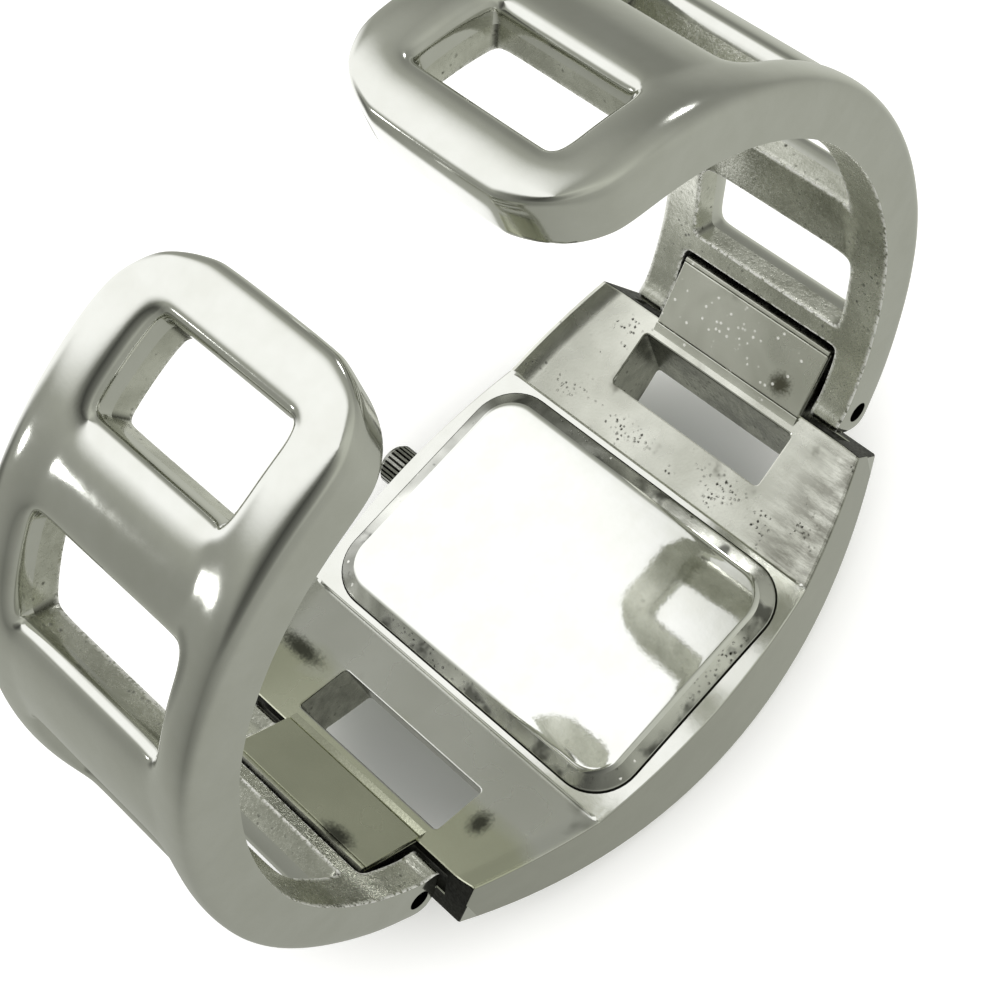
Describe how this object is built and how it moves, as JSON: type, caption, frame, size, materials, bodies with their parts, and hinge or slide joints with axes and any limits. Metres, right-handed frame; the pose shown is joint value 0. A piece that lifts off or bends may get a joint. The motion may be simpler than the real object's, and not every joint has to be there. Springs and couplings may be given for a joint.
{
  "type": "hinged cuff bracelet watch",
  "caption": "Hinged cuff watch: curved metal case with a flat crystal, press-fit back and crown, and two sprung open-link arms that close round the wrist.",
  "frame": {"origin": "middle of the flat outer face of the crystal", "axes": "+X towards 12 o'clock, +Y towards the crown at 3 o'clock, +Z out of the case back, so the part lies dial down with its arms up"},
  "size_m": [0.0634, 0.0338, 0.0569],
  "materials": {
    "chrome_plate": "polished",
    "cast_chrome": "satin",
    "back_steel": "polished",
    "crystal_glass": "polished",
    "dial_paint": "satin",
    "hand_black": "satin",
    "marker_metal": "polished",
    "seal_rubber": "matte",
    "holder_plastic": "matte",
    "movement_brass": "satin",
    "steel_part": "satin",
    "magnet_dark": "satin",
    "coil_copper": "satin",
    "board_green": "matte"
  },
  "bodies": {
    "case": {"case_frame": "cast_chrome", "crystal": "crystal_glass", "crystal_gasket": "seal_rubber", "dial": "dial_paint", "hour_markers": "marker_metal", "case_back": "back_steel", "back_gasket": "seal_rubber", "movement_holder": "holder_plastic", "main_plate": "movement_brass", "train_bridge": "movement_brass", "battery": "steel_part", "battery_clamp": "steel_part", "coil_core": "magnet_dark", "coil": "coil_copper", "stator": "magnet_dark", "circuit_board": "board_green", "quartz_can": "steel_part", "movement_screws": "steel_part", "crown_tube": "movement_brass", "hinge_pin_12": "steel_part", "hinge_pin_6": "steel_part", "hinge_spring_12": "steel_part", "hinge_spring_6": "steel_part", "hinge_cover_12": "cast_chrome", "hinge_cover_6": "cast_chrome"},
    "arm_12": {"arm_12": "chrome_plate"},
    "arm_6": {"arm_6": "chrome_plate"},
    "pull_out_piece": {"setting_lever": "steel_part"},
    "crown_and_stem": {"crown": "chrome_plate", "crown_gasket": "seal_rubber", "stem": "steel_part"},
    "seconds": {"fourth_wheel": "movement_brass", "seconds_hand": "hand_black"},
    "minutes": {"centre_wheel": "movement_brass", "minute_hand": "hand_black"},
    "hours": {"hour_wheel": "movement_brass", "hour_hand": "hand_black"},
    "minute_wheel": {"minute_wheel": "movement_brass"},
    "third_wheel": {"third_wheel": "movement_brass"},
    "fifth_wheel": {"fifth_wheel": "movement_brass"},
    "rotor": {"rotor": "magnet_dark"}
  },
  "joints": [
    {"name": "arm_12_hinge", "type": "hinge", "parent": "case", "child": "arm_12", "pos_m": [0.023, 0, 0.01072], "axis": [0, 1, 0], "range_deg": [0, 30], "stiffness_Nm_per_rad": 0.15, "springref_deg": -20.05},
    {"name": "arm_6_hinge", "type": "hinge", "parent": "case", "child": "arm_6", "pos_m": [-0.023, 0, 0.01072], "axis": [0, -1, 0], "range_deg": [0, 30], "stiffness_Nm_per_rad": 0.15, "springref_deg": -20.05},
    {"name": "crown_pull", "type": "slide", "parent": "case", "child": "pull_out_piece", "axis": [0, 1, 0], "range_m": [0, 0.0007]},
    {"name": "crown_turn", "type": "hinge", "parent": "pull_out_piece", "child": "crown_and_stem", "pos_m": [0, 0.017, 0.00615], "axis": [0, 1, 0], "continuous": true},
    {"name": "seconds_turn", "type": "hinge", "parent": "case", "child": "seconds", "pos_m": [0, 0, 0.005], "axis": [0, 0, 1], "continuous": true},
    {"name": "minutes_turn", "type": "hinge", "parent": "case", "child": "minutes", "pos_m": [0, 0, 0.005], "axis": [0, 0, 1], "continuous": true},
    {"name": "hours_turn", "type": "hinge", "parent": "case", "child": "hours", "pos_m": [0, 0, 0.0033], "axis": [0, 0, 1], "continuous": true},
    {"name": "minute_wheel_turn", "type": "hinge", "parent": "case", "child": "minute_wheel", "pos_m": [-0.00226, 0.00082, 0.0038], "axis": [0, 0, 1], "continuous": true},
    {"name": "third_wheel_turn", "type": "hinge", "parent": "case", "child": "third_wheel", "pos_m": [0.00219, 0.0026, 0.006], "axis": [0, 0, 1], "continuous": true},
    {"name": "fifth_wheel_turn", "type": "hinge", "parent": "case", "child": "fifth_wheel", "pos_m": [0.00175, -0.00303, 0.006], "axis": [0, 0, 1], "continuous": true},
    {"name": "rotor_turn", "type": "hinge", "parent": "case", "child": "rotor", "pos_m": [0.00371, -0.00394, 0.006], "axis": [0, 0, 1], "continuous": true}
  ],
  "couplings": [
    {"joint": "minutes_turn", "follows": "seconds_turn", "ratio": 0.016667},
    {"joint": "hours_turn", "follows": "seconds_turn", "ratio": 0.0013889},
    {"joint": "minute_wheel_turn", "follows": "seconds_turn", "ratio": -0.0055556},
    {"joint": "third_wheel_turn", "follows": "seconds_turn", "ratio": -0.13333},
    {"joint": "fifth_wheel_turn", "follows": "seconds_turn", "ratio": -6},
    {"joint": "rotor_turn", "follows": "seconds_turn", "ratio": 30}
  ]
}
